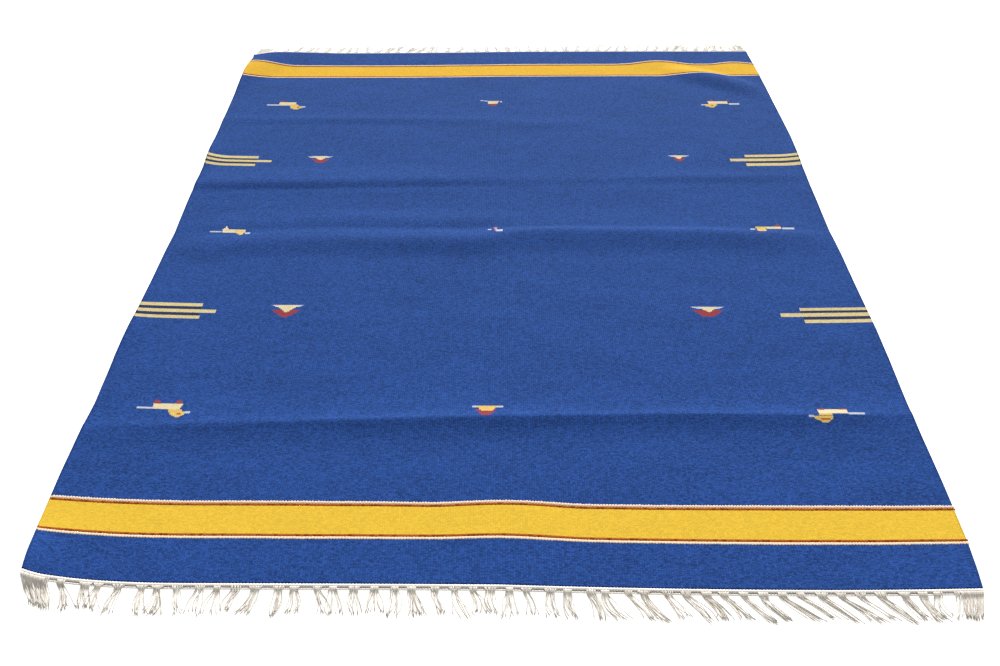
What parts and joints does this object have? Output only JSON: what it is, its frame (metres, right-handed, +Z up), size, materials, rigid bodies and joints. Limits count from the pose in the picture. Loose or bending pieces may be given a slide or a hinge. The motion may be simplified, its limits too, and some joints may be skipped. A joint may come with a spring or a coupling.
{
  "type": "kilim rug",
  "caption": "Flat-woven wool rug lying flat with a few soft creases: blue ground, a yellow band near each end, small inlaid motifs and a white cotton heading with knotted warp fringe.",
  "frame": {"origin": "on the floor under the middle of the whole rug, fringes included", "axes": "+X across the rug, +Y along it towards the far end, +Z up"},
  "size_m": [1.4096, 2.128, 0.0159],
  "materials": {
    "wool_weft": "weft-faced wool flat weave, heathered mid blue with yellow bands and small cream, gold and red motifs, matt",
    "cotton_warp": "undyed off-white cotton yarn, plied, matt"
  },
  "bodies": {
    "root": {"rug_cloth": "wool_weft", "fringe_near": "cotton_warp", "fringe_far": "cotton_warp"}
  },
  "joints": []
}
